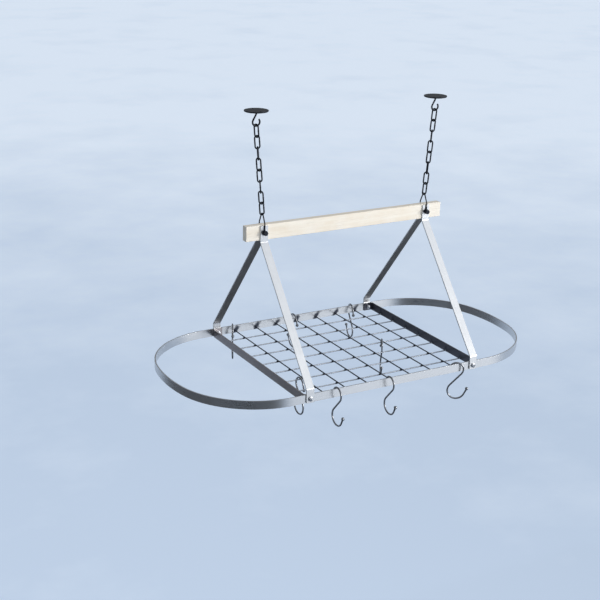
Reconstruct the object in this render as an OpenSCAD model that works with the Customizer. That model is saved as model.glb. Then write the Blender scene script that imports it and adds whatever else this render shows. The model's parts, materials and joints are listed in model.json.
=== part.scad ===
// Hanging pot rack: an oval ring of flat steel bar with a wire mesh shelf, carried by four
// straps under a wooden beam, which two chains hang from the ceiling, with eight S-hooks.
// Millimetres. X runs along the beam, Y from front to back, Z up; the ceiling is at Z = 0 and
// the origin lies in the middle of the two ceiling plates.

/* [Ring] */
// Length of the oval ring over its ends
ring_length = 938; // [900:2:1100]
// Depth of the ring from front to back
ring_depth = 474; // [420:2:560]
// Height of the flat bar that the ring and the cross bars are bent from
bar_height = 20; // [16:1:30]
// Thickness of that flat bar
bar_thick = 3; // [2:0.5:4]
// Outside radius of the ring's four corners
corner_r = 202; // [140:2:208]
// Outside radius of the ring's two flatter ends
end_r = 394; // [320:2:460]

/* [Cross bars] */
// Distance between the two cross bars, over their outer faces
cross_bar_span = 477; // [472:1:490]
// How far each cross bar's tab runs past its screw
tab_past_screw = 12; // [9:1:30]
// Middle radius of the cross bars' and straps' bends
bend_r = 5; // [3:0.5:8]

/* [Mesh shelf] */
// Diameter of the mesh wires
wire_d = 3; // [2:0.5:5]
// Number of wires each way
wire_count = 7; // [5:1:9]
// Height of the mesh's underside above the ring's bottom edge
mesh_lift = 0.4; // [0:0.1:2]
// How far the mesh sits to the right of the middle
mesh_shift_x = 4.5; // [-8:0.5:8]
// How far the mesh sits behind the middle
mesh_shift_y = 4.8; // [-8:0.2:8]

/* [Beam] */
// Length of the wooden beam
beam_length = 540; // [500:5:700]
// Height of the beam
beam_height = 36; // [28:1:60]
// Thickness of the beam
beam_thick = 18; // [12:1:30]
// Height of the beam's underside above the ring's top edge
beam_rise = 298; // [220:2:400]
// Radius of the beam's long edges
beam_edge_r = 1.2; // [0.5:0.1:4]

/* [Straps] */
// How far a strap's centre line lies inside the outer face of the cross bar on its side
strap_inset = 13.5; // [12.5:0.5:28]
// Width of a strap
strap_width = 20; // [16:1:24]
// Thickness of a strap
strap_thick = 3; // [2:0.5:4]
// Height of a strap's lower bend above the ring's top edge
strap_foot_rise = 13; // [6:1:40]
// Distance of a strap's upper bend below the beam
strap_neck_drop = 5; // [3:1:30]
// Distance from a strap's top end to the beam's top edge
strap_top_gap = 1; // [0:0.5:6]

/* [Fasteners] */
// Diameter of the screws and bolts
bolt_d = 6; // [5:0.5:6.5]
// Clearance of a screw in its hole, on the radius
hole_play = 0.2; // [0.1:0.05:0.4]
// Diameter of the corner screws' round heads
screw_head_d = 11; // [9:0.5:13]
// Height of the corner screws' round heads
screw_head_h = 3.5; // [2:0.5:5]
// Width across the flats of nuts and bolt heads
nut_flats = 10; // [9:0.5:12]
// Thickness of a nut and of a bolt head
nut_thick = 5; // [3:0.5:7]
// Outside diameter of the washers
washer_d = 12; // [10:0.5:16]
// Thickness of the washers
washer_thick = 1.2; // [0.8:0.1:2]

/* [Bails] */
// Diameter of the bail wire
bail_wire_d = 3; // [2.5:0.5:3.5]
// Height of a bail's crown above the beam's top, to the middle of the wire
bail_rise = 25.5; // [22:0.5:40]
// Middle radius of a bail's crown
bail_crown_r = 4.5; // [4.5:0.5:8]

/* [Chains] */
// Number of links in each chain
link_count = 8; // [4:1:8]
// Pitch of the chain, which is the inside length of a link
link_pitch = 26; // [22:1:36]
// Outside width of a link
link_width = 15; // [14.5:0.5:18]
// Diameter of the chain wire
link_wire_d = 3.5; // [3:0.1:3.6]
// Turn of the lowest link away from the beam's direction
first_turn = 7; // [0:1:20]
// Turn from each link to the next one
link_twist = 62; // [60:1:90]

/* [Ceiling fittings] */
// Distance between the two ceiling plates' centres
ceiling_span = 486; // [450:2:560]
// Diameter of a ceiling plate
plate_d = 56; // [52:1:80]
// Thickness of a ceiling plate
plate_thick = 3; // [2:0.5:6]
// Distance between a plate's two screw holes
screw_spacing = 40; // [32:1:42]
// Diameter of a plate's screw holes
screw_hole_d = 5; // [4:0.5:6]
// Diameter of the ceiling hook's wire
ceiling_hook_d = 4; // [3:0.5:4]
// Middle radius of the ceiling hook's bend
ceiling_hook_r = 9; // [8.5:0.5:14]
// Length from the middle of that bend up to the plate
ceiling_hook_neck = 24; // [24:1:40]

/* [S-hooks] */
// Diameter of the S-hook wire
hook_wire_d = 4; // [3:0.5:4.5]
// Middle radius of the upper loop
hook_top_r = 17; // [15:0.5:22]
// Middle radius of the lower loop
hook_low_r = 21; // [18:0.5:26]
// Height between the middles of the two loops
hook_drop = 54; // [52:1:80]
// How far the lower loop's middle lies towards the shank
hook_low_shift = 2; // [0:0.5:5]
// Diameter of the ball on each end
hook_ball_d = 8; // [6:0.5:8.5]
// Length of the straight end above the upper ball
hook_top_tail = 14; // [10:0.5:18]
// Length of the straight end below the lower ball
hook_low_tail = 15; // [8:0.5:22]
// How far the front hooks' upper loops sit out from the ring bar's middle
front_hook_lean = 4.5; // [0:0.5:6]
// Turn of the front right hook, which hangs across the ring bar at a slant
slant_hook_turn = -30; // [-90:5:-30]
// Turn of the back left hook
back_left_hook_turn = 65; // [60:5:90]
// Turn of the back right hook
back_right_hook_turn = 80; // [60:5:90]
// How far the front left hook hangs to the right of the first long wire
front_left_hook_shift = 19.5; // [16:0.5:24]
// How far the front middle hook hangs to the left of the middle long wire
front_middle_hook_shift = 17.5; // [14:0.5:24]
// How far the front right hook hangs to the left of the last long wire
front_right_hook_shift = 3.5; // [3.5:0.5:6]
// How far the back left hook hangs to the left of the first long wire
back_left_hook_shift = 7.5; // [6:0.5:9]
// How far the back middle hook hangs to the left of the middle long wire
back_middle_hook_shift = 8; // [6:0.5:20]
// How far the back right hook hangs to the left of the last long wire
back_right_hook_shift = 10.5; // [6:0.5:20]
// How far the left mesh hook hangs to the left of the first long wire
mesh_left_hook_shift = 6.5; // [6:0.5:12]

/* [Hidden] */

$fn = 48;

// Running gap between pieces that hang in one another
play = 0.3;
// Gap that stands for a seam or a weld between two round pieces
seam = 0.1;

// Distances from the middle out to the cross bars' outer faces and the straps' centre lines
web_x = cross_bar_span / 2;
strap_x = web_x - strap_inset;

// Heights, from the ceiling down
link_length = link_pitch + link_wire_d + play;
chain_reach = (link_count - 1) * link_pitch + link_length
    - (link_wire_d + ceiling_hook_d) / 2 - play;
chain_side = ceiling_span / 2 - strap_x;
splay = asin(chain_side / chain_reach);
swing_z = -(plate_thick + ceiling_hook_neck + ceiling_hook_r);
tilt_z = swing_z - chain_reach * cos(splay);
crown_z = tilt_z + (bail_wire_d + link_wire_d) / 2 + play;
beam_top = crown_z - bail_rise;
beam_mid = beam_top - beam_height / 2;
beam_low = beam_top - beam_height;
ring_top = beam_low - beam_rise;
ring_mid = ring_top - bar_height / 2;
ring_low = ring_top - bar_height;

// Places along the depth
ring_y = ring_depth / 2;
band_y = ring_y - bar_thick / 2;
ring_inside = ring_y - bar_thick;
hole_r = bolt_d / 2 + hole_play;

// Three arcs of the ring's outline
corner_y = ring_y - corner_r;
end_x = ring_length / 2 - end_r;
corner_x = end_x + sqrt(pow(end_r - corner_r, 2) - pow(corner_y, 2));
end_half_angle = atan2(corner_y, corner_x - end_x);

// Mesh wires
pitch_x = cross_bar_span / (wire_count + 1);
pitch_y = ring_depth / (wire_count + 1);
cross_wire_z = ring_low + mesh_lift + wire_d / 2;
long_wire_z = cross_wire_z + wire_d + seam;
function long_wire_x(i) = mesh_shift_x + (i - (wire_count + 1) / 2) * pitch_x;
function cross_wire_y(i) = mesh_shift_y + (i - (wire_count + 1) / 2) * pitch_y;

// Beam bolt stack, measured from the beam's middle
strap_out = beam_thick / 2 + strap_thick;
eye_y = strap_out + seam + bail_wire_d / 2;
washer_y = eye_y + bail_wire_d / 2 + seam;
bolt_head_y = washer_y + washer_thick;
eye_r = bolt_d / 2 + play + bail_wire_d / 2;
bolt_end = 2;

// Height from a loop's middle up to the line it hangs on. The line lies aside of the middle
// and runs at an angle to the loop's plane; the wire's middle keeps the given distance from it.
seat_steps = 24;
function seat_height(loop_r, keep, aside, angle) =
    min([for (k = [0:seat_steps])
        let (along = keep / sin(angle) * k / seat_steps,
             inward = sqrt(max(0, pow(keep, 2) - pow(along * sin(angle), 2))))
        sqrt(pow(loop_r - inward, 2) - pow(aside / sin(angle) + along * cos(angle), 2))]);

// Where the S-hooks hang: the middle of each upper loop
mesh_hook_slant = 30;
band_keep = hook_wire_d / 2 + play;
wire_keep = hook_wire_d / 2 + wire_d / 2 + play;
front_hook_z = ring_top
    - seat_height(hook_top_r, band_keep, front_hook_lean + bar_thick / 2, 90);
function bar_hook_z(angle) = ring_top - seat_height(hook_top_r, band_keep, bar_thick / 2, angle);
long_hook_z = long_wire_z - seat_height(hook_top_r, wire_keep, 0, mesh_hook_slant);
cross_hook_z = cross_wire_z - seat_height(hook_top_r, wire_keep, 0, 90);
first_wire_x = long_wire_x(1);
middle_x = mesh_shift_x;
last_wire_x = long_wire_x(wire_count);
front_left_hook_x = first_wire_x + front_left_hook_shift;
front_middle_hook_x = middle_x - front_middle_hook_shift;
front_right_hook_x = last_wire_x - front_right_hook_shift;
back_left_hook_x = first_wire_x - back_left_hook_shift;
back_middle_hook_x = middle_x - back_middle_hook_shift;
back_right_hook_x = last_wire_x - back_right_hook_shift;
mesh_left_hook_x = first_wire_x - mesh_left_hook_shift;
mesh_left_hook_y = cross_wire_y(2);
mesh_right_hook_x = long_wire_x(wire_count - 1);
mesh_right_hook_y = cross_wire_y(round((wire_count + 1) / 2));

steel = [0.72, 0.74, 0.77];
dark_steel = [0.2, 0.21, 0.23];
pale_wood = [0.88, 0.82, 0.72];

// ---- Wire and strip helpers ----

// Straight round wire between two points
module rod(from, to, d) {
    v = to - from;
    translate(from)
        rotate([0, acos(v[2] / norm(v)), atan2(v[1], v[0])])
            cylinder(d = d, h = norm(v));
}

// Ball, a hair thicker than the wire, that joins two stretches of it at a bend's end
module wire_joint(place, d) {
    translate(place)
        sphere(d = d + seam);
}

// Round wire bent to an arc in the XY plane
module arc_wire(r, d, from, to) {
    rotate([0, 0, from])
        rotate_extrude(angle = to - from)
            translate([r, 0])
                circle(d = d);
}

function unit(v) = v / norm(v);
function side(v) = [-v[1], v[0]];
function turned(v, a) = [v[0] * cos(a) - v[1] * sin(a), v[0] * sin(a) + v[1] * cos(a)];

// Points and directions round the bend at v, on the way from a to b
bend_steps = 6;
function bend(a, v, b, r) =
    let (d1 = unit(v - a), d2 = unit(b - v),
         turn = atan2(d1[0] * d2[1] - d1[1] * d2[0], d1 * d2),
         way = sign(turn),
         centre = v - d1 * r * tan(abs(turn) / 2) + side(d1) * r * way)
    [for (i = [0:bend_steps])
        let (d = turned(d1, turn * i / bend_steps))
        [centre - side(d) * r * way, d]];

// Flat bar on edge, bent along four points in the XY plane
module strip(p, r, thick) {
    stations = concat([[p[0], unit(p[1] - p[0])]],
        bend(p[0], p[1], p[2], r), bend(p[1], p[2], p[3], r),
        [[p[3], unit(p[3] - p[2])]]);
    last = len(stations) - 1;
    polygon(concat(
        [for (s = stations) s[0] + side(s[1]) * thick / 2],
        [for (i = [0:last]) stations[last - i][0] - side(stations[last - i][1]) * thick / 2]));
}

// Round hole through everything along Y
module cross_hole(x, z, r) {
    translate([x, 0, z])
        rotate([90, 0, 0])
            cylinder(r = r, h = ring_depth + 60, center = true);
}

// ---- Ceiling fittings ----

module ceiling_plate(x) {
    rim = 1;
    color(dark_steel)
        difference() {
            translate([x, 0, -plate_thick])
                rotate_extrude()
                    polygon([[0, 0], [plate_d / 2 - rim, 0], [plate_d / 2, rim],
                             [plate_d / 2, plate_thick], [0, plate_thick]]);
            for (y = [-1, 1] * screw_spacing / 2)
                translate([x, y, -plate_thick - 1])
                    cylinder(d = screw_hole_d, h = plate_thick + 2);
        }
}

// Hook that the top link hangs on; its bend lies along X
module ceiling_hook(x) {
    neck_angle = 150;
    tip_angle = 395;
    collar_d = 12;
    collar_h = 2.5;
    middle = swing_z + ceiling_hook_r;
    bend_start = ceiling_hook_r * [cos(neck_angle), 0, sin(neck_angle)];
    tip = ceiling_hook_r * [cos(tip_angle), 0, sin(tip_angle)];
    knee = [0, 0, bend_start[2] - bend_start[0] / tan(180 - neck_angle)];
    color(dark_steel)
        translate([x, 0, middle]) {
            rotate([90, 0, 0])
                arc_wire(ceiling_hook_r, ceiling_hook_d, neck_angle, tip_angle);
            rod(bend_start, knee, ceiling_hook_d);
            rod(knee, [0, 0, ceiling_hook_neck], ceiling_hook_d);
            for (place = [bend_start, knee, tip])
                wire_joint(place, ceiling_hook_d);
            translate([0, 0, ceiling_hook_neck - collar_h])
                cylinder(d = collar_d, h = collar_h);
        }
}

// ---- Chains ----

// One welded link, counted from the bottom; way is -1 on the left and 1 on the right
module chain_link(way, i) {
    r = (link_width - link_wire_d) / 2;
    straight = link_length - 2 * r;
    color(dark_steel)
        translate([way * strap_x, 0, tilt_z])
            rotate([0, way * splay, 0])
                translate([0, 0, (i - 1) * link_pitch + r])
                    rotate([90, 0, first_turn - link_twist * (i - 1)]) {
                        arc_wire(r, link_wire_d, 180, 360);
                        translate([0, straight, 0])
                            arc_wire(r, link_wire_d, 0, 180);
                        for (s = [-1, 1] * r)
                            rod([s, 0, 0], [s, straight, 0], link_wire_d);
                    }
}

// ---- Bails ----

// Wire bail that straddles the beam, with an eye on each bolt end
module bail(way) {
    knee = [eye_y, beam_top + bail_wire_d];
    middle = crown_z - bail_crown_r;
    reach = [knee[0], knee[1] - middle];
    lean = atan2(reach[1], reach[0]) + acos(bail_crown_r / norm(reach));
    crown_end = bail_crown_r * [cos(lean), sin(lean)];
    color(dark_steel)
        translate([way * strap_x, 0, 0]) {
            translate([0, 0, middle])
                rotate([90, 0, 90])
                    arc_wire(bail_crown_r, bail_wire_d, lean, 180 - lean);
            for (s = [-1, 1]) {
                shoulder = [0, s * crown_end[0], middle + crown_end[1]];
                elbow = [0, s * knee[0], knee[1]];
                rod(shoulder, elbow, bail_wire_d);
                rod([0, s * eye_y, beam_mid + eye_r], elbow, bail_wire_d);
                wire_joint(shoulder, bail_wire_d);
                wire_joint(elbow, bail_wire_d);
                translate([0, s * eye_y, beam_mid])
                    rotate([90, 0, 0])
                        rotate_extrude()
                            translate([eye_r, 0])
                                circle(d = bail_wire_d);
            }
        }
}

// ---- Beam and its bolts ----

module beam() {
    r = beam_edge_r;
    color(pale_wood)
        difference() {
            translate([0, 0, beam_low])
                rotate([90, 0, 90])
                    linear_extrude(beam_length, center = true)
                        union() {
                            translate([-beam_thick / 2 + r, 0])
                                square([beam_thick - 2 * r, beam_height]);
                            translate([-beam_thick / 2, r])
                                square([beam_thick, beam_height - 2 * r]);
                            for (y = [-1, 1] * (beam_thick / 2 - r))
                                for (z = [r, beam_height - r])
                                    translate([y, z])
                                        circle(r = r);
                        }
            for (x = [-1, 1] * strap_x)
                cross_hole(x, beam_mid, hole_r);
        }
}

// Hexagonal block with its flats upright, standing along -Y from the given place
module hexagon(x, y, z, h) {
    translate([x, y, z])
        rotate([90, 0, 0])
            cylinder(d = nut_flats / cos(30), h = h, $fn = 6);
}

module beam_bolts() {
    color(dark_steel)
        for (x = [-1, 1] * strap_x) {
            hexagon(x, -bolt_head_y, beam_mid, nut_thick);
            translate([x, bolt_head_y + nut_thick + bolt_end, beam_mid])
                rotate([90, 0, 0])
                    cylinder(d = bolt_d, h = 2 * bolt_head_y + nut_thick + bolt_end);
        }
}

module beam_washers() {
    color(dark_steel)
        for (x = [-1, 1] * strap_x)
            for (y = [-washer_y, washer_y + washer_thick])
                difference() {
                    translate([x, y, beam_mid])
                        rotate([90, 0, 0])
                            cylinder(d = washer_d, h = washer_thick);
                    cross_hole(x, beam_mid, hole_r);
                }
}

module beam_nuts() {
    color(dark_steel)
        for (x = [-1, 1] * strap_x)
            difference() {
                hexagon(x, bolt_head_y + nut_thick, beam_mid, nut_thick);
                cross_hole(x, beam_mid, bolt_d / 2 + seam);
            }
}

// ---- Straps ----

// Strap down one side of the rack; way is -1 or 1 along X, depth is -1 in front, 1 behind
module strap(way, depth) {
    foot_y = ring_y + strap_thick / 2;
    neck_y = (beam_thick + strap_thick) / 2;
    foot_low = ring_mid - strap_width / 2;
    top = beam_top - strap_top_gap;
    end_round = 3;
    color(steel)
        difference() {
            intersection() {
                translate([way * strap_x, 0, 0])
                    rotate([90, 0, 90])
                        linear_extrude(strap_width, center = true)
                            strip([[depth * foot_y, foot_low - 1],
                                   [depth * foot_y, ring_top + strap_foot_rise],
                                   [depth * neck_y, beam_low - strap_neck_drop],
                                   [depth * neck_y, top]], bend_r, strap_thick);
                translate([way * strap_x, 0, 0])
                    rotate([90, 0, 0])
                        linear_extrude(ring_depth + 4 * strap_thick, center = true)
                            union() {
                                translate([-strap_width / 2, foot_low + end_round])
                                    square([strap_width, top - foot_low - 2 * end_round]);
                                translate([end_round - strap_width / 2, foot_low])
                                    square([strap_width - 2 * end_round, top - foot_low]);
                                for (x = [-1, 1] * (strap_width / 2 - end_round))
                                    for (z = [foot_low + end_round, top - end_round])
                                        translate([x, z])
                                            circle(r = end_round);
                            }
            }
            cross_hole(way * strap_x, beam_mid, hole_r);
            cross_hole(way * strap_x, ring_mid, hole_r);
        }
}

// ---- Corner screws and nuts ----

// Draws its children at the four corners, outside face at Y = 0 and inwards along +Y
module at_corners() {
    for (way = [-1, 1])
        for (depth = [0, 1])
            mirror([0, depth, 0])
                translate([way * strap_x, -ring_y - strap_thick, ring_mid])
                    children();
}

module corner_screws() {
    slot = [1.6, 1.4];
    grip = strap_thick + 2 * bar_thick + nut_thick;
    color(dark_steel)
        at_corners()
            difference() {
                union() {
                    rotate([-90, 0, 0])
                        cylinder(d = bolt_d, h = grip);
                    rotate([90, 0, 0])
                        intersection() {
                            cylinder(d = screw_head_d, h = screw_head_h);
                            translate([0, 0, screw_head_h - screw_head_d])
                                sphere(r = screw_head_d);
                        }
                }
                translate([-screw_head_d, -screw_head_h - 1, -slot[0] / 2])
                    cube([2 * screw_head_d, slot[1] + 1, slot[0]]);
            }
}

// Domed nuts inside the cross bars' tabs
module corner_nuts() {
    dome_r = nut_flats / 2 - 0.4;
    color(steel)
        at_corners()
            translate([0, strap_thick + 2 * bar_thick, 0])
                difference() {
                    union() {
                        hexagon(0, nut_thick, 0, nut_thick);
                        translate([0, nut_thick, 0])
                            sphere(r = dome_r);
                    }
                    rotate([-90, 0, 0])
                        cylinder(d = bolt_d + 2 * seam, h = nut_thick + seam);
                    translate([-nut_flats, -2 * nut_flats, -nut_flats])
                        cube([2 * nut_flats, 2 * nut_flats, 2 * nut_flats]);
                }
}

// ---- Ring, cross bars and mesh ----

// Oval of straight sides, corner arcs and end arcs, moved in by the given inset
module oval(inset) {
    fine = 200;
    square([2 * corner_x, 2 * (ring_y - inset)], center = true);
    for (way = [-1, 1]) {
        for (depth = [-1, 1])
            translate([way * corner_x, depth * corner_y])
                circle(r = corner_r - inset, $fn = fine);
        intersection() {
            translate([way * end_x, 0])
                circle(r = end_r - inset, $fn = fine);
            translate([way * end_x, 0])
                polygon([[0, 0],
                    way * 2 * end_r * [cos(end_half_angle), sin(end_half_angle)],
                    way * 2 * end_r * [cos(end_half_angle), -sin(end_half_angle)]]);
        }
    }
}

module ring() {
    color(steel)
        difference() {
            translate([0, 0, ring_low])
                linear_extrude(bar_height)
                    difference() {
                        oval(0);
                        oval(bar_thick);
                    }
            for (x = [-1, 1] * strap_x)
                cross_hole(x, ring_mid, hole_r);
        }
}

// Cross bar between the front and the back of the ring, with a tab bent in at each end
module cross_bar(way) {
    web = way * (web_x - bar_thick / 2);
    tab = way * (strap_x - tab_past_screw);
    y = ring_inside - bar_thick / 2;
    color(steel)
        difference() {
            translate([0, 0, ring_low])
                linear_extrude(bar_height)
                    strip([[tab, -y], [web, -y], [web, y], [tab, y]], bend_r, bar_thick);
            cross_hole(way * strap_x, ring_mid, hole_r);
        }
}

module long_wires() {
    color(steel)
        for (i = [1:wire_count])
            rod([long_wire_x(i), -ring_inside, long_wire_z],
                [long_wire_x(i), ring_inside, long_wire_z], wire_d);
}

module cross_wires() {
    end = web_x - bar_thick;
    color(steel)
        for (i = [1:wire_count])
            rod([-end, cross_wire_y(i), cross_wire_z],
                [end, cross_wire_y(i), cross_wire_z], wire_d);
}

// ---- S-hooks ----

// One loop of an S-hook round the origin, from the shank's end on the +X axis to the ball on
// its straight tail
module hook_loop(r, sweep, tail) {
    rotate_extrude(angle = sweep)
        translate([r, 0])
            circle(d = hook_wire_d);
    rotate([0, 0, sweep])
        translate([r, 0, 0])
            rotate([-90, 0, 0]) {
                sphere(d = hook_wire_d + seam);
                cylinder(d = hook_wire_d, h = tail);
                translate([0, 0, tail])
                    sphere(d = hook_ball_d);
            }
}

// S-hook in the XZ plane, with the middle of its upper loop at the origin and its shank on
// the +X side; then turned about Z and put in place
module s_hook(x, y, z, turn) {
    top_end = 160;
    low_end = 155;
    reach = hook_top_r + hook_low_r;
    apart = norm([hook_low_shift, hook_drop]);
    leave = acos(reach / apart) - atan2(hook_drop, hook_low_shift);
    shank = sqrt(pow(apart, 2) - pow(reach, 2));
    color(dark_steel)
        translate([x, y, z])
            rotate([90, 0, turn])
                rotate([0, 0, leave]) {
                    hook_loop(hook_top_r, top_end - leave, hook_top_tail);
                    translate([hook_top_r, 0, 0])
                        rotate([90, 0, 0])
                            cylinder(d = hook_wire_d, h = shank);
                    translate([reach, -shank, 0])
                        rotate([0, 0, 180])
                            hook_loop(hook_low_r, low_end - leave, hook_low_tail);
                }
}

// ---- The parts ----

ceiling_plate(-ceiling_span / 2);  // left_ceiling_plate
ceiling_plate(ceiling_span / 2);  // right_ceiling_plate
ceiling_hook(-ceiling_span / 2);  // left_ceiling_hook
ceiling_hook(ceiling_span / 2);  // right_ceiling_hook
for (i = [1:link_count]) {
    chain_link(-1, i);
    chain_link(1, i);
}
bail(-1);  // left_bail
bail(1);  // right_bail
beam_bolts();
beam_washers();
beam_nuts();
beam();
strap(-1, -1);  // front_left_strap
strap(1, -1);  // front_right_strap
strap(-1, 1);  // back_left_strap
strap(1, 1);  // back_right_strap
corner_screws();
corner_nuts();
ring();
cross_bar(-1);  // left_cross_bar
cross_bar(1);  // right_cross_bar
long_wires();
cross_wires();
s_hook(front_left_hook_x, -band_y - front_hook_lean, front_hook_z, -90);  // front_left_hook
s_hook(front_middle_hook_x, -band_y - front_hook_lean, front_hook_z, -90);  // front_middle_hook
s_hook(front_right_hook_x, -band_y, bar_hook_z(-slant_hook_turn), slant_hook_turn);  // front_right_hook
s_hook(back_left_hook_x, band_y, bar_hook_z(back_left_hook_turn), back_left_hook_turn);  // back_left_hook
s_hook(back_middle_hook_x, band_y, bar_hook_z(90), 90);  // back_middle_hook
s_hook(back_right_hook_x, band_y, bar_hook_z(back_right_hook_turn), back_right_hook_turn);  // back_right_hook
s_hook(mesh_left_hook_x, mesh_left_hook_y, cross_hook_z, 90);  // mesh_left_hook
s_hook(mesh_right_hook_x, mesh_right_hook_y, long_hook_z, -90 - mesh_hook_slant);  // mesh_right_hook
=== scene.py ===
import json
import math

import bpy
from mathutils import Matrix, Quaternion, Vector


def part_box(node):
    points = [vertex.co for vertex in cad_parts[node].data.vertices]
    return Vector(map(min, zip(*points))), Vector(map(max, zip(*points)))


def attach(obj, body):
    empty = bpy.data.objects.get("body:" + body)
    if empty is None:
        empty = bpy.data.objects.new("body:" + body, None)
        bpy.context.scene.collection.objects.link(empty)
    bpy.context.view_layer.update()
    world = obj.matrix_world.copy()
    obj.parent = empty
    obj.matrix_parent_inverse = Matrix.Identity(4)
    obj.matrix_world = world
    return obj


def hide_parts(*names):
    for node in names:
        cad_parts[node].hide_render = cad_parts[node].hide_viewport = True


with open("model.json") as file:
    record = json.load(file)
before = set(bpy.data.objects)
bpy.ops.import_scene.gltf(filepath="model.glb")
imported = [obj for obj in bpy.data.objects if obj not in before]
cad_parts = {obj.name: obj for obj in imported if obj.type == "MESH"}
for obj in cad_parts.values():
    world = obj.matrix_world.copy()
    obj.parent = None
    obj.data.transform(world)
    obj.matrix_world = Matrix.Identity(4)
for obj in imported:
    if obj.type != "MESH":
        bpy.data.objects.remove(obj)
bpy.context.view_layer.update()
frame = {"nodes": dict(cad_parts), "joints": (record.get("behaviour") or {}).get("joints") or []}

# ---- Camera ----
# The photograph's viewpoint, solved from the rack's own straight bars: a long lens, to the left
# of the rack and a little above it, held with a slight tilt.

camera_stand = Vector((-1.53302, -2.46446, 0.51728))
camera_aim = Vector((-0.11994, 0, -0.46590))
camera_tilt = 1.295
camera_data = bpy.data.cameras.new("camera")
camera_data.lens = 75.42
camera_data.sensor_width = 36
camera = bpy.data.objects.new("camera", camera_data)
bpy.context.scene.collection.objects.link(camera)
camera_turn = (camera_aim - camera_stand).to_track_quat("-Z", "Y").to_matrix().to_4x4()
camera.matrix_world = (Matrix.Translation(camera_stand) @ camera_turn
                       @ Matrix.Rotation(math.radians(camera_tilt), 4, "Z"))
bpy.context.scene.camera = camera

# ---- Ceiling plates ----
# Two round steel plates, blackened, each with two screw holes; the fitter screws them to the
# joists. Turned from 3 mm plate, with a broken rim and rounded hole edges.

MM = 0.001


def only(piece):
    bpy.ops.object.select_all(action="DESELECT")
    piece.select_set(True)
    bpy.context.view_layer.objects.active = piece


def eased(node, edge, sharp=35):
    """The node's shape as a clean mesh of its own, with its sharp edges rounded."""
    piece = bpy.data.objects.new(node + "_eased", frame["nodes"][node].data.copy())
    bpy.context.scene.collection.objects.link(piece)
    only(piece)
    bpy.ops.mesh.customdata_custom_splitnormals_clear()
    bpy.ops.object.mode_set(mode="EDIT")
    bpy.ops.mesh.select_all(action="SELECT")
    bpy.ops.mesh.remove_doubles(threshold=0.002 * MM)
    bpy.ops.mesh.dissolve_limited(angle_limit=math.radians(0.4))
    bpy.ops.object.mode_set(mode="OBJECT")
    bpy.ops.object.shade_smooth_by_angle(angle=math.radians(sharp))
    rounding = piece.modifiers.new("rounding", "BEVEL")
    rounding.width = edge * MM
    rounding.segments = 2
    rounding.limit_method = "ANGLE"
    rounding.angle_limit = math.radians(sharp)
    rounding.harden_normals = True
    bpy.ops.object.modifier_apply(modifier="rounding")
    return piece


def fitted(piece, body, slot, finish, *nodes):
    """The piece gets its finish, rides on its body and stands for these nodes."""
    piece.data.materials.clear()
    piece.data.materials.append(finish)
    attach(piece, body)
    if nodes:
        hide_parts(*nodes)


def step(tree, kind, sockets, **settings):
    """One shader node; a socket given as a value's input is linked to it. A MapRange takes the
    range 1 to 2 and gives 3 to 4. A Mix takes its share at 0, and mixes the numbers 2 and 3 or
    the colours 6 and 7."""
    node = tree.nodes.new("ShaderNode" + kind)
    for name, value in settings.items():
        setattr(node, name, value)
    for socket, value in sockets.items():
        if isinstance(value, bpy.types.NodeSocket):
            tree.links.new(value, node.inputs[socket])
        else:
            node.inputs[socket].default_value = value
    return node


def effect(name, inputs, outputs):
    """An empty node group with named sockets: (kind, name, value) in, (kind, name) out."""
    tree = bpy.data.node_groups.new(name, "ShaderNodeTree")
    for kind, label, value in inputs:
        socket = tree.interface.new_socket(label, in_out="INPUT", socket_type="NodeSocket" + kind)
        socket.default_value = value
    for kind, label in outputs:
        tree.interface.new_socket(label, in_out="OUTPUT", socket_type="NodeSocket" + kind)
    return tree, tree.nodes.new("NodeGroupInput").outputs, tree.nodes.new("NodeGroupOutput").inputs


# Streaks drawn out along one direction, as rolling and brushing leave in steel, or as the
# grain of wood: the stretch gives the streaks per metre along each axis
streaks, given, out = effect(
    "streaks", [("Vector", "Stretch", (1, 1, 1)), ("Float", "Detail", 4)], [("Float", "Streak")])
place = step(streaks, "TexCoord", {}).outputs["Object"]
drawn = step(streaks, "VectorMath", {0: place, 1: given["Stretch"]}, operation="MULTIPLY")
noise = step(streaks, "TexNoise", {"Vector": drawn.outputs[0], "Scale": 1.0,
                                   "Detail": given["Detail"], "Roughness": 0.6})
streaks.links.new(noise.outputs["Fac"], out["Streak"])

# Cloudy patches at two sizes, as in a rolled, oiled or blackened skin
clouds, given, out = effect(
    "clouds", [("Float", "Patches per metre", 20), ("Float", "Contrast", 1)],
    [("Float", "Cloud")])
place = step(clouds, "TexCoord", {}).outputs["Object"]
broad = step(clouds, "TexNoise", {"Vector": place, "Scale": given["Patches per metre"],
                                  "Detail": 3, "Roughness": 0.55})
finer = step(clouds, "Math", {0: given["Patches per metre"], 1: 5.3}, operation="MULTIPLY")
fine = step(clouds, "TexNoise", {"Vector": place, "Scale": finer.outputs[0], "Detail": 4,
                                 "Roughness": 0.6})
both = step(clouds, "Mix", {0: 0.35, 2: broad.outputs["Fac"], 3: fine.outputs["Fac"]})
centred = step(clouds, "Math", {0: both.outputs[0], 1: 0.5}, operation="SUBTRACT")
spread = step(clouds, "Math", {0: centred.outputs[0], 1: given["Contrast"], 2: 0.5},
              operation="MULTIPLY_ADD", use_clamp=True)
clouds.links.new(spread.outputs[0], out["Cloud"])

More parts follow.
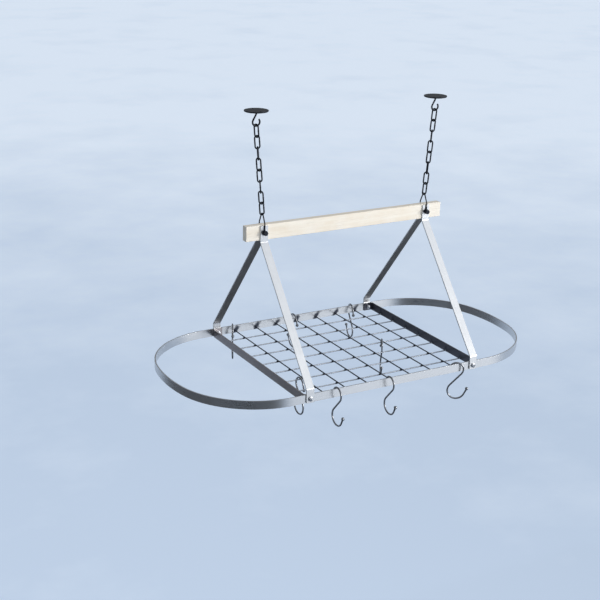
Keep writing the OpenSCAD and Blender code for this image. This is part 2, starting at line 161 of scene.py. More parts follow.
# Bare metal along the edges, where handling rubs the skin off
rubbed, given, out = effect(
    "rubbed edges", [("Float", "Reach", 0.0008), ("Float", "Patches per metre", 160)],
    [("Float", "Edge")])
flat = step(rubbed, "NewGeometry", {}).outputs["Normal"]
soft = step(rubbed, "Bevel", {"Radius": given["Reach"]}, samples=4)
meet = step(rubbed, "VectorMath", {0: flat, 1: soft.outputs["Normal"]}, operation="DOT_PRODUCT")
bare = step(rubbed, "MapRange", {"Value": meet.outputs["Value"], 1: 0.995, 2: 0.88, 3: 0, 4: 1})
place = step(rubbed, "TexCoord", {}).outputs["Object"]
worn = step(rubbed, "TexNoise", {"Vector": place, "Scale": given["Patches per metre"],
                                 "Detail": 3})
kept = step(rubbed, "MapRange", {"Value": worn.outputs["Fac"], 1: 0.35, 2: 0.6, 3: 0.25, 4: 1})
edge = step(rubbed, "Math", {0: bare.outputs[0], 1: kept.outputs[0]}, operation="MULTIPLY",
            use_clamp=True)
rubbed.links.new(edge.outputs[0], out["Edge"])


def metal(name, tones, edge_tone, metallic, rough, stretch, patches, contrast, reach, bump):
    """A steel finish: two tones in cloudy patches with streaks, and bare edges. The reach of
    the wear is in millimetres, and the stretch in streaks per metre along each axis."""
    streak_share, relief_depth = 0.45, 0.3 * MM
    finish = bpy.data.materials.new(name)
    finish.use_nodes = True
    tree = finish.node_tree
    shader = tree.nodes["Principled BSDF"]
    cloud = step(tree, "Group", {}, node_tree=clouds)
    cloud.inputs["Patches per metre"].default_value = patches
    cloud.inputs["Contrast"].default_value = contrast
    streak = step(tree, "Group", {}, node_tree=streaks)
    streak.inputs["Stretch"].default_value = stretch
    wear = step(tree, "Group", {}, node_tree=rubbed)
    wear.inputs["Reach"].default_value = reach * MM
    blend = step(tree, "Mix", {0: streak_share, 2: cloud.outputs["Cloud"],
                              3: streak.outputs["Streak"]})
    tone = step(tree, "Mix", {0: blend.outputs[0], 6: (*tones[0], 1), 7: (*tones[1], 1)},
                data_type="RGBA")
    worn = step(tree, "Mix", {0: wear.outputs["Edge"], 6: tone.outputs[2], 7: (*edge_tone, 1)},
                data_type="RGBA")
    sheen = step(tree, "MapRange", {"Value": blend.outputs[0], 1: 0.25, 2: 0.75,
                                    3: rough[0], 4: rough[1]})
    relief = step(tree, "Bump", {"Height": blend.outputs[0], "Strength": bump,
                                 "Distance": relief_depth})
    tree.links.new(worn.outputs[2], shader.inputs["Base Color"])
    tree.links.new(sheen.outputs[0], shader.inputs["Roughness"])
    tree.links.new(relief.outputs[0], shader.inputs["Normal"])
    shader.inputs["Metallic"].default_value = metallic
    return finish


blackened = metal("blackened steel", ((0.008, 0.010, 0.015), (0.026, 0.029, 0.037)),
                  edge_tone=(0.14, 0.145, 0.16), metallic=0.8, rough=(0.34, 0.52),
                  stretch=(400, 400, 400), patches=70, contrast=1.6, reach=0.3, bump=0.15)
for side in ("left", "right"):
    plate = eased(side + "_ceiling_plate", 0.3)
    fitted(plate, "ceiling_fittings", "black_steel", blackened, side + "_ceiling_plate")

# ---- Ceiling hooks ----
# A hook of 4 mm blackened wire hangs from each plate: the wire is bent on a jig, runs up into
# a turned collar, and is riveted through the plate's middle.


def bent_wire(name, thick, start, heading, plane, moves, sides=14, ends="flat"):
    """A round wire bent as on a jig, in millimetres. It starts at a point, with a heading, and
    bends about the plane's axis. Moves: ("run", length[, thickness]), ("turn", degrees, radius)
    and ("roll", degrees), which turns the plane about the heading."""
    point, way, axis = Vector(start), Vector(heading).normalized(), Vector(plane).normalized()
    bpy.ops.object.select_all(action="DESELECT")
    bpy.ops.mesh.primitive_circle_add(
        vertices=sides, radius=thick / 2 * MM, fill_type="NOTHING", location=point * MM,
        rotation=way.to_track_quat("Z", "Y").to_euler())
    wire = bpy.context.object
    wire.name = name
    bpy.ops.object.transform_apply(location=True, rotation=True, scale=True)
    bpy.ops.object.mode_set(mode="EDIT")
    bpy.ops.mesh.select_all(action="SELECT")
    for move, size, *more in moves:
        if move == "run":
            bpy.ops.mesh.extrude_region_move(
                TRANSFORM_OT_translate={"value": way * size * MM})
            point = point + way * size
            if more and more[0] != thick:
                grow = more[0] / thick
                bpy.ops.transform.resize(value=(grow, grow, grow), center_override=point * MM)
                thick = more[0]
        elif move == "turn":
            centre = point + axis.cross(way) * more[0] * math.copysign(1, size)
            bpy.ops.mesh.spin(steps=max(3, round(abs(size) / 12)), angle=math.radians(-size),
                              center=centre * MM, axis=axis)
            bend = Quaternion(axis, math.radians(size))
            point = centre + bend @ (point - centre)
            way = bend @ way
        else:
            axis = Quaternion(way, math.radians(size)) @ axis
    bpy.ops.mesh.select_all(action="SELECT")
    bpy.ops.mesh.remove_doubles(threshold=0.02 * MM)
    bpy.ops.mesh.select_all(action="DESELECT")
    bpy.ops.mesh.select_non_manifold()
    if ends == "round":
        bpy.ops.mesh.merge(type="COLLAPSE")
    elif ends == "flat":
        bpy.ops.mesh.fill_holes(sides=0)
    bpy.ops.mesh.select_all(action="SELECT")
    bpy.ops.mesh.normals_make_consistent(inside=False)
    bpy.ops.object.mode_set(mode="OBJECT")
    bpy.ops.object.shade_smooth_by_angle(angle=math.radians(50))
    return wire


def ball_end(ball, thick, rings=7):
    """Moves that swell from nothing to a ball and in again to the wire."""
    first, last = 14, 180 - math.degrees(math.asin(thick / ball))
    angles = [math.radians(first + (last - first) * k / rings) for k in range(rings + 1)]
    return [("run", ball / 2 * (math.cos(a) - math.cos(b)), ball * math.sin(b))
            for a, b in zip(angles, angles[1:])], ball * math.sin(angles[0]), angles


def put_in_place(source, name, matrix):
    """A copy of a piece with a mesh of its own, moved into place."""
    piece = source.copy()
    piece.data = source.data.copy()
    piece.name = name
    bpy.context.scene.collection.objects.link(piece)
    piece.data.transform(matrix)
    return piece


hook_r, hook_wire, hook_neck, hook_sweep, knee_turn, knee_r = 9, 4, 24, 245, 30, 4
tip_thick, dome_high, collar_high, collar_thick = 1.2, 1.6, 2.8, 12
dome = [("run", 0.5, 2.6), ("run", 0.5, 3.5), ("run", 0.6, hook_wire)]
collar = [("run", 0.3, 10.4), ("run", 0.6, collar_thick), ("run", 1.6), ("run", 0.3, 11.4)]
mouth, knee = math.radians(35), math.radians(knee_turn)
knee_z = hook_r * (math.sin(knee) + math.cos(knee) / math.tan(knee))
neck_run = hook_r * math.cos(knee) / math.sin(knee)
soft_bend = knee_r * math.tan(knee / 2)
hook_tip = (hook_r * math.cos(mouth) - dome_high * math.sin(mouth), 0,
            hook_r * math.sin(mouth) + dome_high * math.cos(mouth))
ceiling_hook = bent_wire(
    "ceiling_hook", tip_thick, hook_tip, (math.sin(mouth), 0, -math.cos(mouth)), (0, -1, 0),
    dome + [("turn", -hook_sweep, hook_r), ("run", neck_run - soft_bend),
            ("turn", knee_turn, knee_r),
            ("run", hook_neck - knee_z - soft_bend - collar_high)] + collar, ends="flat")
for side, joint in (("left", "chain_swing"), ("right", "right_chain_swing")):
    hinge = next(j for j in frame["joints"] if j["name"] == joint)
    seat = Vector(hinge["pos_m"]) + Vector((0, 0, hook_r * MM))
    piece = put_in_place(ceiling_hook, side + "_ceiling_hook_bent", Matrix.Translation(seat))
    fitted(piece, "ceiling_fittings", "black_steel", blackened, side + "_ceiling_hook")
bpy.data.objects.remove(ceiling_hook)

# ---- Chains ----
# Eight links of 3.5 mm wire to a chain, each bent round a mandrel and butt-welded in one side,
# where the weld leaves a thicker ring. Blackened after welding, like the hooks and plates.

link_wire, link_half_width, link_straight, link_count, weld_half = 3.5, 5.75, 18.3, 8, 1.2
link_weld = [("run", 0.5, 4.0), ("run", 0.7, 4.2), ("run", 0.7, 4.0), ("run", 0.5, link_wire)]
beside_weld = link_straight / 2 - weld_half
link = bent_wire(
    "link", link_wire, (link_half_width, -link_straight / 2, 0), (0, 1, 0), (0, 0, 1),
    [("run", beside_weld)] + link_weld
    + [("run", beside_weld), ("turn", 180, link_half_width), ("run", link_straight),
       ("turn", 180, link_half_width)], ends="none")
splay, first_turn, link_twist = 4.970, 7, 62
for side, way in (("left", -1), ("right", 1)):
    for i in range(1, link_count + 1):
        node = f"{side}_chain_link_{i}"
        low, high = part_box(node)
        lie = (Matrix.Translation((low + high) / 2)
               @ Matrix.Rotation(math.radians(way * splay), 4, "Y")
               @ Matrix.Rotation(math.radians(first_turn - link_twist * (i - 1)), 4, "Z")
               @ Matrix.Rotation(math.radians(90), 4, "X"))
        body = side + ("_low_link" if i == 1 else "_top_link" if i == link_count else "_chain")
        fitted(put_in_place(link, f"{side}_link_{i}_welded", lie), body, "black_steel",
               blackened, node)
bpy.data.objects.remove(link)

# ---- Bails ----
# A bail of 3 mm wire straddles the beam under each chain: it is bent over a former, and each
# leg ends in an eye, closed round the beam bolt.


def joined(name, pieces):
    """Several meshes made one, with what touches merged, holes capped and faces outwards."""
    bpy.ops.object.select_all(action="DESELECT")
    for piece in pieces:
        piece.select_set(True)
    bpy.context.view_layer.objects.active = pieces[0]
    bpy.ops.object.join()
    pieces[0].name = name
    bpy.ops.object.mode_set(mode="EDIT")
    bpy.ops.mesh.select_all(action="SELECT")
    bpy.ops.mesh.remove_doubles(threshold=0.02 * MM)
    bpy.ops.mesh.select_all(action="DESELECT")
    bpy.ops.mesh.select_non_manifold()
    bpy.ops.mesh.fill_holes(sides=0)
    bpy.ops.mesh.select_all(action="SELECT")
    bpy.ops.mesh.normals_make_consistent(inside=False)
    bpy.ops.object.mode_set(mode="OBJECT")
    return pieces[0]


bail_wire, crown_r, eye_r, kink_r, elbow_r, eye_turn, hang_gap = 3, 4.5, 4.8, 2, 3, 306, 0.3
hang_z = next(j for j in frame["joints"] if j["name"] == "rack_tilt")["pos_m"][2] / MM
crown_z = hang_z + (bail_wire + link_wire) / 2 + hang_gap
bail_low, bail_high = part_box("left_bail")
eye_y = (bail_high.y - bail_low.y) / 2 / MM - bail_wire / 2
bolt_z = bail_low.z / MM + bail_wire / 2 + eye_r
elbow_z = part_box("beam")[1].z / MM + bail_wire
fall = crown_z - crown_r - elbow_z
lean = math.acos(crown_r / math.hypot(eye_y, fall)) - math.atan2(fall, eye_y)
slope = math.sqrt(eye_y ** 2 + fall ** 2 - crown_r ** 2)
trim = elbow_r * math.tan(lean / 2)
kink_h = math.sqrt(eye_r ** 2 + 2 * eye_r * kink_r)
half_bail = bent_wire(
    "bail", bail_wire, (0, 0, crown_z), (0, 1, 0), (1, 0, 0),
    [("turn", math.degrees(lean) - 90, crown_r), ("run", slope - trim),
     ("turn", -math.degrees(lean), elbow_r), ("run", elbow_z - bolt_z - trim - kink_h),
     ("roll", 90), ("turn", math.degrees(math.atan2(kink_h, kink_r)), kink_r),
     ("turn", -eye_turn, eye_r)], sides=12, ends="none")
bail = joined("bail", [half_bail, put_in_place(half_bail, "bail_other_half",
                                               Matrix.Rotation(math.pi, 4, "Z"))])
bpy.ops.object.shade_smooth_by_angle(angle=math.radians(50))
for side in ("left", "right"):
    low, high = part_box(side + "_bail")
    astride = Matrix.Translation(((low.x + high.x) / 2, 0, 0))
    piece = put_in_place(bail, side + "_bail_bent", astride)
    fitted(piece, "rack", "black_steel", blackened, side + "_bail")
bpy.data.objects.remove(bail)

# ---- Beam ----
# A planed softwood batten, limed and waxed: cream faces with a faint grain and fine pores drawn
# out along X, and arrises taken off with a plane.

limed = bpy.data.materials.new("limed wood")
limed.use_nodes = True
tree = limed.node_tree
shader = tree.nodes["Principled BSDF"]
grain = step(tree, "Group", {}, node_tree=streaks)
grain.inputs["Stretch"].default_value = (3, 60, 60)
pores = step(tree, "Group", {}, node_tree=streaks)
pores.inputs["Stretch"].default_value = (25, 900, 900)
patch = step(tree, "Group", {}, node_tree=clouds)
patch.inputs["Patches per metre"].default_value = 14
figure = step(tree, "MapRange", {"Value": grain.outputs[0], 1: 0.38, 2: 0.62, 3: 0, 4: 1})
warm = step(tree, "Mix", {0: figure.outputs[0], 6: (0.90, 0.82, 0.69, 1),
                          7: (0.79, 0.67, 0.50, 1)}, data_type="RGBA")
limewash = step(tree, "MapRange", {"Value": patch.outputs[0], 1: 0.3, 2: 0.7, 3: 0.25, 4: 0.85})
washed = step(tree, "Mix", {0: limewash.outputs[0], 6: warm.outputs[2],
                            7: (0.92, 0.86, 0.76, 1)}, data_type="RGBA")
pore = step(tree, "MapRange", {"Value": pores.outputs[0], 1: 0.30, 2: 0.42, 3: 0.35, 4: 0})
dotted = step(tree, "Mix", {0: pore.outputs[0], 6: washed.outputs[2],
                            7: (0.45, 0.37, 0.28, 1)}, data_type="RGBA")
matt = step(tree, "MapRange", {"Value": grain.outputs[0], 1: 0.3, 2: 0.7, 3: 0.62, 4: 0.48})
relief = step(tree, "Bump", {"Height": pores.outputs[0], "Strength": 0.25, "Distance": 0.25 * MM})
tree.links.new(dotted.outputs[2], shader.inputs["Base Color"])
tree.links.new(matt.outputs[0], shader.inputs["Roughness"])
tree.links.new(relief.outputs[0], shader.inputs["Normal"])
fitted(eased("beam", 0.4), "rack", "limed_wood", limed, "beam")

# ---- Beam fasteners ----
# Two hexagon bolts through straps, beam and bails, each with two turned washers and a nut,
# blackened like the chain.

for node, edge in (("beam_bolts", 0.35), ("beam_washers", 0.2), ("beam_nuts", 0.35)):
    fitted(eased(node, edge), "rack", "black_steel", blackened, node)

# ---- Straps ----
# Four straps of 20 x 3 mm flat steel, bent twice, holed at both ends, the corners rounded. The
# rolled skin is left bare, under wax: streaks run down the bar and the edges shine.

bar_thick, bar_edge = 3, 0.45
strap_steel = metal("strap steel", ((0.50, 0.505, 0.51), (0.74, 0.74, 0.74)),
                    edge_tone=(0.78, 0.78, 0.78), metallic=0.97, rough=(0.30, 0.38),
                    stretch=(700, 9, 9), patches=12, contrast=1.2, reach=0.4, bump=0.04)
for node in ("front_left_strap", "front_right_strap", "back_left_strap", "back_right_strap"):
    fitted(eased(node, bar_edge), "rack", "raw_steel", strap_steel, node)

# ---- Corner screws and nuts ----
# Slotted round-head screws of plain steel pass through strap, ring and cross bar into domed
# nuts of bright steel.

screw_steel = metal("screw steel", ((0.22, 0.23, 0.25), (0.42, 0.43, 0.45)),
                    edge_tone=(0.6, 0.61, 0.63), metallic=1, rough=(0.22, 0.36),
                    stretch=(300, 300, 300), patches=90, contrast=1.2, reach=0.25, bump=0.1)
fitted(eased("corner_screws", 0.15), "rack", "bright_steel", screw_steel, "corner_screws")
bright = metal("bright steel", ((0.62, 0.63, 0.65), (0.78, 0.79, 0.81)),
               edge_tone=(0.9, 0.9, 0.91), metallic=1, rough=(0.12, 0.24),
               stretch=(300, 300, 300), patches=90, contrast=1, reach=0.25, bump=0.05)
fitted(eased("corner_nuts", 0.25), "rack", "bright_steel", bright, "corner_nuts")

# ---- Ring ----
# An oval of 20 x 3 mm flat steel, rolled on edge and butt-welded. On the back bar's inner face,
# where the mesh wires are welded to it, their reflection and shadow are painted as dark marks.

wires_low, wires_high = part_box("long_wires")
rows_low, rows_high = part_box("cross_wires")
wire_count, wire_thick = 7, 3
pitch_x = (wires_high.x - wires_low.x - wire_thick * MM) / (wire_count - 1)
pitch_y = (rows_high.y - rows_low.y - wire_thick * MM) / (wire_count - 1)
first_x = wires_low.x + wire_thick / 2 * MM
first_y = rows_low.y + wire_thick / 2 * MM
long_z = (wires_low.z + wires_high.z) / 2
cross_z = (rows_low.z + rows_high.z) / 2

# Painted reflection and shadow: dark marks round the wires' welds that repeat at a pitch along
# one direction, at one height
painted_wire_shade, given, out = effect(
    "painted wire shade", [("Float", "Along", 0), ("Float", "First", 0), ("Float", "Pitch", 0.05),
                    ("Float", "Height", 0), ("Float", "Size", 0.008), ("Float", "Lean", 0)],
    [("Float", "Mark")])
place = step(painted_wire_shade, "TexCoord", {}).outputs["Object"]
height = step(painted_wire_shade, "SeparateXYZ", {0: place}).outputs["Z"]
away = step(painted_wire_shade, "Math", {0: given["Along"], 1: given["First"]}, operation="SUBTRACT")
turns = step(painted_wire_shade, "Math", {0: away.outputs[0], 1: given["Pitch"]}, operation="DIVIDE")
near = step(painted_wire_shade, "Math", {0: turns.outputs[0]}, operation="ROUND")
rest = step(painted_wire_shade, "Math", {0: turns.outputs[0], 1: near.outputs[0]}, operation="SUBTRACT")
aside = step(painted_wire_shade, "Math", {0: rest.outputs[0], 1: given["Pitch"]}, operation="MULTIPLY")
above = step(painted_wire_shade, "Math", {0: height, 1: given["Height"]}, operation="SUBTRACT")
low_stretch = step(painted_wire_shade, "Math", {0: above.outputs[0], 1: 0.5}, operation="MULTIPLY")
leant = step(painted_wire_shade, "Math", {0: above.outputs[0], 1: given["Lean"]}, operation="MULTIPLY")
upright = step(painted_wire_shade, "Math", {0: aside.outputs[0], 1: leant.outputs[0]}, operation="SUBTRACT")
gap = step(painted_wire_shade, "CombineXYZ", {0: upright.outputs[0], 1: low_stretch.outputs[0]})
far = step(painted_wire_shade, "VectorMath", {0: gap.outputs[0]}, operation="LENGTH")
ragged = step(painted_wire_shade, "TexNoise", {"Vector": place, "Scale": 130, "Detail": 3})
wobble = step(painted_wire_shade, "MapRange", {"Value": ragged.outputs["Fac"], 1: 0.3, 2: 0.7, 3: 0.6, 4: 1.5})
size = step(painted_wire_shade, "Math", {0: given["Size"], 1: wobble.outputs[0]}, operation="MULTIPLY")
share = step(painted_wire_shade, "Math", {0: far.outputs["Value"], 1: size.outputs[0]}, operation="DIVIDE")
mark = step(painted_wire_shade, "MapRange", {"Value": share.outputs[0], 1: 0.25, 2: 1.1, 3: 1, 4: 0},
            interpolation_type="SMOOTHSTEP")
painted_wire_shade.links.new(mark.outputs[0], out["Mark"])


def paint_wire_shade(finish, direction, first, pitch, height, size, lean, bounds):
    """Dark marks on a finish, painted as the wires' reflection and shadow, inside bounds:
    (axis, least, most) in metres, any sign.
    """
    tree = finish.node_tree
    shader = tree.nodes["Principled BSDF"]
    base = shader.inputs["Base Color"].links[0].from_socket
    place = step(tree, "TexCoord", {}).outputs["Object"]
    split = step(tree, "SeparateXYZ", {0: place})
    marks = step(tree, "Group", {}, node_tree=painted_wire_shade)
    tree.links.new(split.outputs[direction], marks.inputs["Along"])
    for name, value in (("First", first), ("Pitch", pitch), ("Height", height), ("Size", size),
                        ("Lean", lean)):
        marks.inputs[name].default_value = value
    mask = marks.outputs[0]
    for axis, least, most in bounds:
        off = step(tree, "Math", {0: split.outputs[axis]}, operation="ABSOLUTE")
        past = step(tree, "Math", {0: off.outputs[0], 1: least}, operation="GREATER_THAN")
        short = step(tree, "Math", {0: off.outputs[0], 1: most}, operation="LESS_THAN")
        inside = step(tree, "Math", {0: past.outputs[0], 1: short.outputs[0]},
                      operation="MULTIPLY")
        mask = step(tree, "Math", {0: mask, 1: inside.outputs[0]},
                    operation="MULTIPLY").outputs[0]
    # The marks' near-black colour is painted reflection and shadow of the wires
    tint = step(tree, "Mix", {0: mask, 6: base, 7: (0.045, 0.05, 0.065, 1)}, data_type="RGBA")
    tree.links.new(tint.outputs[2], shader.inputs["Base Color"])
    return finish


inner_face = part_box("ring")[1].y - bar_thick * MM
ring_mark, ring_mark_lean, ring_mark_up, past_wires = 0.0095, 0.6, 2 * MM, 0.232
ring_steel = metal("ring steel", ((0.52, 0.53, 0.545), (0.66, 0.67, 0.68)),
                   edge_tone=(0.76, 0.77, 0.78), metallic=0.97, rough=(0.25, 0.31),
                   stretch=(9, 9, 700), patches=11, contrast=1.1, reach=0.4, bump=0.02)
# Each long wire's reflection and shadow, painted dark on the back bar's inner face
paint_wire_shade(ring_steel, "X", first_x, pitch_x, long_z + ring_mark_up, ring_mark, ring_mark_lean,
         (("Y", inner_face - MM, inner_face + MM), ("X", -1, past_wires)))
fitted(eased("ring", bar_edge), "rack", "raw_steel", ring_steel, "ring")

# ---- Cross bars ----
# Two bars of the same flat steel, bent in at each end to a holed tab, which the corner screws
# clamp to the ring. Each bar gets its own tones as painted light and shade, the right one far
# darker, and each cross wire's reflection is painted dark on the webs.

bar_mark, past_rows = 0.008, 0.22
# Tones by side are painted light and shade: the right bar is painted far darker
for side, tones in (("left", ((0.27, 0.245, 0.245), (0.46, 0.42, 0.42))),
                    ("right", ((0.07, 0.07, 0.085), (0.15, 0.15, 0.17)))):
    side_shaded_bar_steel = metal(side + " cross bar steel shaded by side", tones, edge_tone=(0.50, 0.50, 0.51),
                      metallic=0.97, rough=(0.32, 0.42), stretch=(9, 9, 700), patches=16,
                      contrast=1.4, reach=0.4, bump=0.04)
    web_inside = abs(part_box(side + "_cross_bar")[side == "right"].x) - bar_thick * MM
    # Each cross wire's reflection, painted dark on the web's inner face
    paint_wire_shade(side_shaded_bar_steel, "Y", first_y, pitch_y, cross_z, bar_mark, 0,
             (("X", web_inside - MM, web_inside + MM), ("Y", -1, past_rows)))
    fitted(eased(side + "_cross_bar", bar_edge), "rack", "raw_steel", side_shaded_bar_steel,
           side + "_cross_bar")

# ---- Mesh shelf ----
# Seven wires run front to back over seven that run along: 3 mm steel, spot-welded at every
# crossing and to the ring and cross bars. Each end is drawn out into its weld.

foot_thick, row_mark, row_mark_aside, wire_spans = 4.6, 0.0055, 2 * MM, 16
foot_in = [("run", 0.5, 4.1), ("run", 0.7, 3.4), ("run", 0.9, wire_thick)]
foot_out = [("run", 0.9, 3.4), ("run", 0.7, 4.1), ("run", 0.5, foot_thick)]
# One steel in two tones: the long wires are painted dark as shade, the cross wires pale as light
shaded_long_wire_steel = metal("long wire, painted shade", ((0.045, 0.052, 0.068), (0.11, 0.12, 0.145)),
                  edge_tone=(0.35, 0.36, 0.38), metallic=0.9, rough=(0.32, 0.46),
                  stretch=(300, 300, 300), patches=60, contrast=1.5, reach=0.25, bump=0.1)
lit_cross_wire_steel = metal("cross wire, painted light", ((0.25, 0.27, 0.30), (0.44, 0.46, 0.50)),
                 edge_tone=(0.5, 0.52, 0.55), metallic=0.9, rough=(0.34, 0.48),
                 stretch=(300, 300, 300), patches=60, contrast=1.5, reach=0.25, bump=0.1)
# The long wires' shadows, painted dark on the cross wires just left of each crossing
paint_wire_shade(lit_cross_wire_steel, "X", first_x - row_mark_aside, pitch_x, cross_z, row_mark, 0, ())


def welded_wire(name, start, heading, plane, length):
    """A straight wire in short spans, with a weld foot at each end."""
    span = (length - sum(move[1] for move in foot_in + foot_out)) / wire_spans
    return bent_wire(name, foot_thick, start, heading, plane,
                     foot_in + [("run", span)] * wire_spans + foot_out, sides=12)


long_wire = welded_wire("long_wire", (0, wires_low.y / MM, long_z / MM), (0, 1, 0), (0, 0, 1),
                        (wires_high.y - wires_low.y) / MM)
long_wires = [put_in_place(long_wire, f"long_{i}",
                           Matrix.Translation((first_x + i * pitch_x, 0, 0)))
              for i in range(wire_count)]
bpy.data.objects.remove(long_wire)
cross_wire = welded_wire("cross_wire", (rows_low.x / MM, 0, cross_z / MM), (1, 0, 0), (0, 0, 1),
                         (rows_high.x - rows_low.x) / MM)
cross_wires = [put_in_place(cross_wire, f"cross_{i}",
                            Matrix.Translation((0, first_y + i * pitch_y, 0)))
               for i in range(wire_count)]
bpy.data.objects.remove(cross_wire)
fitted(joined("long_wires_welded", long_wires), "rack", "wire_steel", shaded_long_wire_steel, "long_wires")
fitted(joined("cross_wires_welded", cross_wires), "rack", "wire_steel", lit_cross_wire_steel, "cross_wires")

# An oval bead at each crossing, partly a weld and partly the long wire's painted shadow, so it is
# dark and sits a little to the left of the wire
spot_r, spot_shadow_aside, spot_spread = 1.9, 1.2, (1.7, 1.2, 1)
spot_place = (first_x - spot_shadow_aside * MM, first_y, (long_z + cross_z) / 2)
bpy.ops.object.select_all(action="DESELECT")
bpy.ops.mesh.primitive_uv_sphere_add(segments=10, ring_count=6, radius=spot_r * MM,
                                     location=spot_place)
spot = bpy.context.object
bpy.ops.object.transform_apply(location=True, rotation=True, scale=True)
bpy.ops.object.mode_set(mode="EDIT")
bpy.ops.mesh.select_all(action="SELECT")
bpy.ops.transform.resize(value=spot_spread, center_override=spot_place)
bpy.ops.object.mode_set(mode="OBJECT")
spots = [put_in_place(spot, f"spot_{i}", Matrix.Translation((i % wire_count * pitch_x,
                                                             i // wire_count * pitch_y, 0)))
         for i in range(wire_count ** 2)]
bpy.data.objects.remove(spot)
# Near-black: the weld's scorch, and the long wire's painted shadow
weld_shadow_steel = metal("spot weld, painted shadow", ((0.010, 0.012, 0.018), (0.04, 0.042, 0.05)),
                       edge_tone=(0.1, 0.1, 0.11), metallic=0.7, rough=(0.45, 0.65),
                       stretch=(500, 500, 500), patches=200, contrast=1.4, reach=0.2, bump=0.3)
welds_and_shadows = joined("spot_welds_and_shadows", spots)
bpy.ops.object.shade_smooth_by_angle(angle=math.radians(50))
fitted(welds_and_shadows, "rack", "wire_steel", weld_shadow_steel)

# ---- S-hooks ----
# Eight hooks of 4 mm wire, each bent to an S between two pegs, with a ball upset on each end,
# barrelled to a dark polish. Each swings by itself on the bar or wire it hangs on.

top_r, low_r, drop, low_shift, s_wire, s_ball = 17, 21, 54, 2, 4, 8
top_tail, low_tail, top_end, low_end = 14, 15, 160, 155
apart, reach = math.hypot(low_shift, drop), top_r + low_r
leave = math.degrees(math.acos(reach / apart) - math.atan2(drop, low_shift))
ball_in, ball_tip, ball_angles = ball_end(s_ball, s_wire)
ball_out = [("run", ball_in[len(ball_in) - 1 - k][1], ball_in[len(ball_in) - 2 - k][2]
             if k < len(ball_in) - 1 else ball_tip) for k in range(len(ball_in))]
pole = s_ball / 2 * math.cos(ball_angles[0])
neck = -s_ball / 2 * math.cos(ball_angles[-1])
tip_angle = math.radians(top_end)
tip_point = Vector((math.cos(tip_angle), math.sin(tip_angle), 0)) * top_r
tip_way = Vector((-math.sin(tip_angle), math.cos(tip_angle), 0))
s_hook = bent_wire(
    "s_hook", ball_tip, tip_point + tip_way * (top_tail + pole), -tip_way, (0, 0, 1),
    ball_in + [("run", top_tail - neck), ("turn", leave - top_end, top_r),
               ("run", math.sqrt(apart ** 2 - reach ** 2)), ("turn", low_end - leave, low_r),
               ("run", low_tail - neck)] + ball_out, sides=16, ends="round")
polished = metal("polished hook steel", ((0.15, 0.155, 0.165), (0.33, 0.335, 0.35)),
                 edge_tone=(0.75, 0.76, 0.78), metallic=1, rough=(0.13, 0.26),
                 stretch=(200, 200, 200), patches=60, contrast=1.3, reach=0.3, bump=0.04)
for joint in frame["joints"]:
    body = joint["child"]
    if body.endswith("_hook"):
        axis = joint["axis"]
        lie = (Matrix.Translation(joint["pos_m"])
               @ Matrix.Rotation(math.atan2(axis[0], -axis[1]), 4, "Z")
               @ Matrix.Rotation(math.radians(90), 4, "X"))
        fitted(put_in_place(s_hook, body + "_bent", lie), body, "hook_steel", polished, body)
bpy.data.objects.remove(s_hook)

# ---- Floor and light ----
# A pale blue-grey floor, as far below as in a kitchen, painted darker near and paler further off
# as painted shade, one soft lamp at the front right and a sky that is bright on that side. Cards
# lie where only reflections see them.

floor_z, floor_wide, paleness, card_lift = -2.4, 90, 0.62, 0.02
photo_heading = (0.497, 0.867, 0)
bpy.ops.object.select_all(action="DESELECT")
bpy.ops.mesh.primitive_plane_add(size=floor_wide, location=(0, 0, floor_z))
floor = bpy.context.object
floor.name = "floor"
paint = bpy.data.materials.new("floor paint")
paint.use_nodes = True
tree = paint.node_tree
shader = tree.nodes["Principled BSDF"]
place = step(tree, "TexCoord", {}).outputs["Object"]
mottle = step(tree, "TexNoise", {"Vector": place, "Scale": 0.9, "Detail": 5, "Roughness": 0.6})
# Painted shade: the floor is darker up to 3 m along one heading and paler towards 12 m
away = step(tree, "VectorMath", {0: place, 1: photo_heading}, operation="DOT_PRODUCT")
painted_falloff = step(tree, "MapRange", {"Value": away.outputs["Value"], 1: 3, 2: 12, 3: 0, 4: 1})
soft = step(tree, "MapRange", {"Value": mottle.outputs["Fac"], 1: 0.3, 2: 0.7, 3: -0.25, 4: 0.25})
tone = step(tree, "Math", {0: painted_falloff.outputs[0], 1: soft.outputs[0]}, operation="ADD",
            use_clamp=True)
wash = step(tree, "Mix", {0: tone.outputs[0], 6: (0.41, 0.485, 0.59, 1),
                          7: (0.57, 0.63, 0.705, 1)}, data_type="RGBA")
tree.links.new(wash.outputs[2], shader.inputs["Base Color"])
shader.inputs["Roughness"].default_value = 0.9
# Its paleness is for the camera and for reflections, and puts no more light on the rack
ray = step(tree, "LightPath", {})
seen = step(tree, "Math", {0: ray.outputs["Is Camera Ray"], 1: ray.outputs["Is Glossy Ray"]},
            operation="ADD")
seen = step(tree, "Math", {0: seen.outputs[0], 1: ray.outputs["Is Transmission Ray"]},
            operation="ADD", use_clamp=True)
lift = step(tree, "Math", {0: seen.outputs[0], 1: paleness}, operation="MULTIPLY")
tree.links.new(wash.outputs[2], shader.inputs["Emission Color"])
tree.links.new(lift.outputs[0], shader.inputs["Emission Strength"])
floor.data.materials.append(paint)

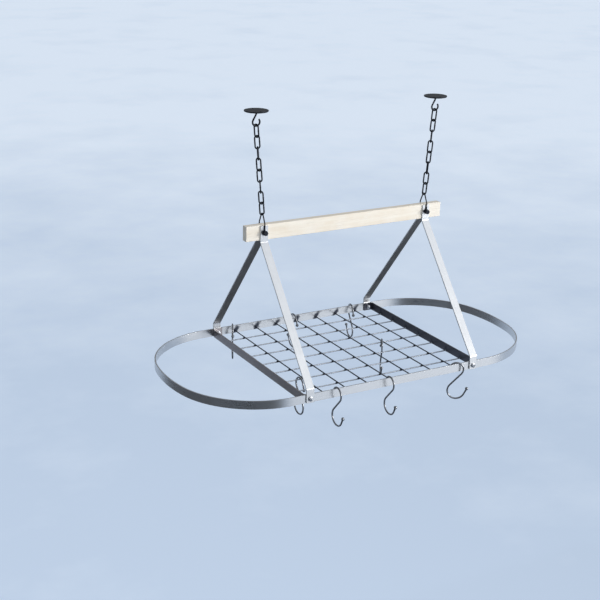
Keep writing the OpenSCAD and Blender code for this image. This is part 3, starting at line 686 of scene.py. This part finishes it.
# Boards on the floor for the bars' faces to mirror: each one's middle and size in metres, its
# tone, and how much it glows
for name, spot, size, tone, glow in (
        ("card_left", (-7.5, 2), (11, 10), (0.12, 0.125, 0.135, 1), 0),
        ("card_front", (-3.25, -5.5), (7.7, 6.6), (0.02, 0.022, 0.026, 1), 0),
        ("card_below", (0.5, 0.15), (3.4, 2.3), (0.02, 0.022, 0.026, 1), 0),
        ("card_bright", (4.0, -4.9), (5.2, 5.4), (0.85, 0.88, 0.92, 1), 0.66)):
    bpy.ops.object.select_all(action="DESELECT")
    bpy.ops.mesh.primitive_plane_add(size=1, location=(*spot, floor_z + card_lift))
    card = bpy.context.object
    card.name = name
    card.scale = (*size, 1)
    bpy.ops.object.transform_apply(location=True, rotation=True, scale=True)
    board = bpy.data.materials.new(name)
    board.use_nodes = True
    shader = board.node_tree.nodes["Principled BSDF"]
    shader.inputs["Base Color"].default_value = tone
    shader.inputs["Roughness"].default_value = 1
    shader.inputs["Emission Color"].default_value = tone
    shader.inputs["Emission Strength"].default_value = glow
    card.data.materials.append(board)
    card.visible_camera = card.visible_diffuse = card.visible_shadow = False

sky = bpy.data.worlds.new("sky")
bpy.context.scene.world = sky
sky.use_nodes = True
tree = sky.node_tree
heading = step(tree, "TexCoord", {}).outputs["Generated"]
bright_side = Vector((0.70, -0.72, 0.12)).normalized()
facing = step(tree, "VectorMath", {0: heading, 1: bright_side}, operation="DOT_PRODUCT")
glow = step(tree, "MapRange", {"Value": facing.outputs["Value"], 1: -0.25, 2: 1, 3: 0.32, 4: 1.3},
            interpolation_type="SMOOTHSTEP")
back = tree.nodes["Background"]
back.inputs["Color"].default_value = (0.88, 0.93, 1, 1)
tree.links.new(glow.outputs[0], back.inputs["Strength"])

lamp_data = bpy.data.lights.new("window", "AREA")
lamp_data.shape = "RECTANGLE"
lamp_data.size, lamp_data.size_y = 2.5, 2.2
lamp_data.energy = 30
lamp_data.spread = math.radians(60)
lamp_data.color = (1, 0.985, 0.96)
lamp = bpy.data.objects.new("window", lamp_data)
lamp.location = (4.3, -4.0, 0.5)
lamp_aim = Vector((0, 0, -0.5))
lamp.rotation_euler = (lamp_aim - lamp.location).to_track_quat("-Z", "Y").to_euler()
bpy.context.scene.collection.objects.link(lamp)
bpy.context.scene.view_settings.view_transform = "Standard"
